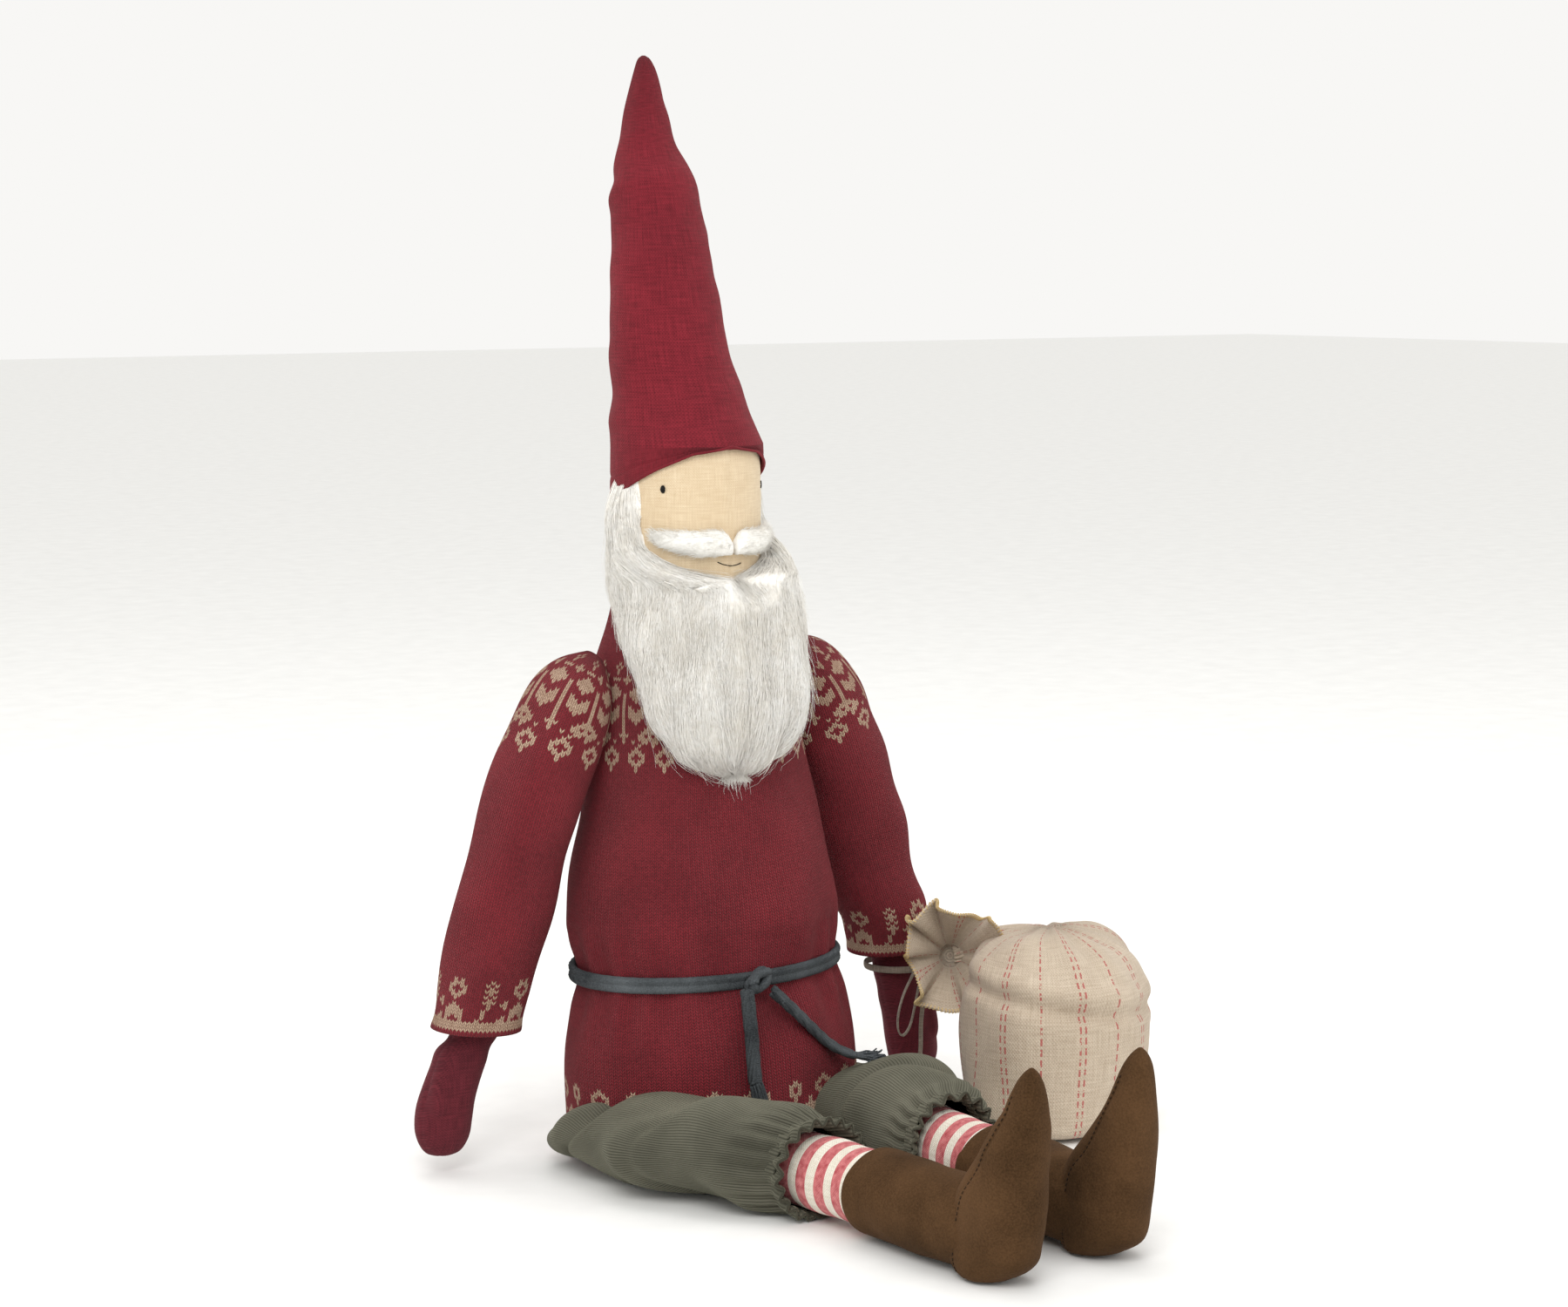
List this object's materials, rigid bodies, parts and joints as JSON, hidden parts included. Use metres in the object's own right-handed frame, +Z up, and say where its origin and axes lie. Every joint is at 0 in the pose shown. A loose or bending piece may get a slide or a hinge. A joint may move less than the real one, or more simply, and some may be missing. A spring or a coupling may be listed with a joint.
{
  "type": "tomte gnome doll",
  "caption": "Seated soft cloth tomte with a tall pointed hat, wool beard, patterned knitted sweater, corded belt, breeches, boots and a tied sack at its wrist.",
  "frame": {"origin": "on the flat seat of the breeches, under the doll's spine", "axes": "+Z up from the seat plane, -Y the way the doll faces, +X to the doll's own left"},
  "size_m": [0.4455, 0.434, 0.66],
  "materials": {
    "wine_knit": "fine wool stockinette with a beige figured yoke, cuffs and hem",
    "slate_braid": "flat braided cotton cord",
    "olive_corduroy": "fine needlecord, a little worn",
    "black_thread": "embroidery thread",
    "white_wool": "carded wool, felted on the moustache",
    "wine_linen": "plain-woven linen, pressed",
    "dark_wine_cotton": "matte cotton",
    "striped_cotton": "woven red and cream stripes",
    "brown_suede": "matte suede",
    "striped_linen": "washed linen with red dashed stripes",
    "taupe_ribbon": "matte woven ribbon",
    "beige_cotton": "plain cotton",
    "fibre_fill": "soft polyester fibre"
  },
  "bodies": {
    "torso": {"torso_cloth": "beige_cotton", "torso_stuffing": "fibre_fill", "sweater_body": "wine_knit", "belt_band": "slate_braid", "belt_knot": "slate_braid", "belt_tail_front": "slate_braid", "belt_tassel_front": "slate_braid", "belt_tail_side": "slate_braid", "belt_fringe_side": "slate_braid", "trouser_seat": "olive_corduroy"},
    "head": {"head_cloth": "beige_cotton", "head_stuffing": "fibre_fill", "eyes": "black_thread", "mouth_stitch": "black_thread", "moustache_right": "white_wool", "moustache_left": "white_wool", "beard": "white_wool"},
    "hat": {"hat_cloth": "wine_linen", "hat_stuffing": "fibre_fill"},
    "arm_right": {"arm_cloth_right": "beige_cotton", "arm_stuffing_right": "fibre_fill", "sleeve_right": "wine_knit", "mitten_right": "dark_wine_cotton"},
    "arm_left": {"arm_cloth_left": "beige_cotton", "arm_stuffing_left": "fibre_fill", "sleeve_left": "wine_knit", "mitten_left": "dark_wine_cotton"},
    "leg_right": {"leg_cloth_right": "striped_cotton", "leg_stuffing_right": "fibre_fill", "trouser_leg_right": "olive_corduroy", "knee_elastic_right": "olive_corduroy", "boot_shaft_right": "brown_suede", "boot_foot_right": "brown_suede"},
    "leg_left": {"leg_cloth_left": "striped_cotton", "leg_stuffing_left": "fibre_fill", "trouser_leg_left": "olive_corduroy", "knee_elastic_left": "olive_corduroy", "boot_shaft_left": "brown_suede", "boot_foot_left": "brown_suede"},
    "sack": {"sack_cloth": "striped_linen", "sack_filling": "fibre_fill", "sack_neck": "striped_linen", "sack_ruffle": "striped_linen", "ribbon_tie": "taupe_ribbon", "ribbon_wrist_loop": "taupe_ribbon", "ribbon_link": "taupe_ribbon", "ribbon_bow_loop": "taupe_ribbon", "ribbon_tail": "taupe_ribbon"}
  },
  "joints": [
    {"name": "head_turn", "type": "hinge", "parent": "torso", "child": "head", "pos_m": [0, 0.018, 0.338], "axis": [0, 0, 1], "range_deg": [-25, 25], "deforming": ["beard"]},
    {"name": "hat_lift", "type": "slide", "parent": "head", "child": "hat", "axis": [0, 0, 1], "range_m": [0, 0.11]},
    {"name": "shoulder_right", "type": "hinge", "parent": "torso", "child": "arm_right", "pos_m": [-0.064, 0.01326, 0.275], "axis": [-1, 0, 0], "range_deg": [-30, 150]},
    {"name": "shoulder_left", "type": "hinge", "parent": "torso", "child": "arm_left", "pos_m": [0.064, 0.01326, 0.275], "axis": [-1, 0, 0], "range_deg": [-30, 150]},
    {"name": "hip_right", "type": "hinge", "parent": "torso", "child": "leg_right", "pos_m": [-0.018, 0.005, 0.0143], "axis": [1, 0, 0], "range_deg": [0, 90]},
    {"name": "hip_left", "type": "hinge", "parent": "torso", "child": "leg_left", "pos_m": [0.018, 0.005, 0.0143], "axis": [1, 0, 0], "range_deg": [0, 90]},
    {"name": "sack_round_wrist", "type": "hinge", "parent": "arm_left", "child": "sack", "pos_m": [0.156, 0.01, 0.086], "axis": [0, 0, 1], "range_deg": [0, 90]}
  ]
}
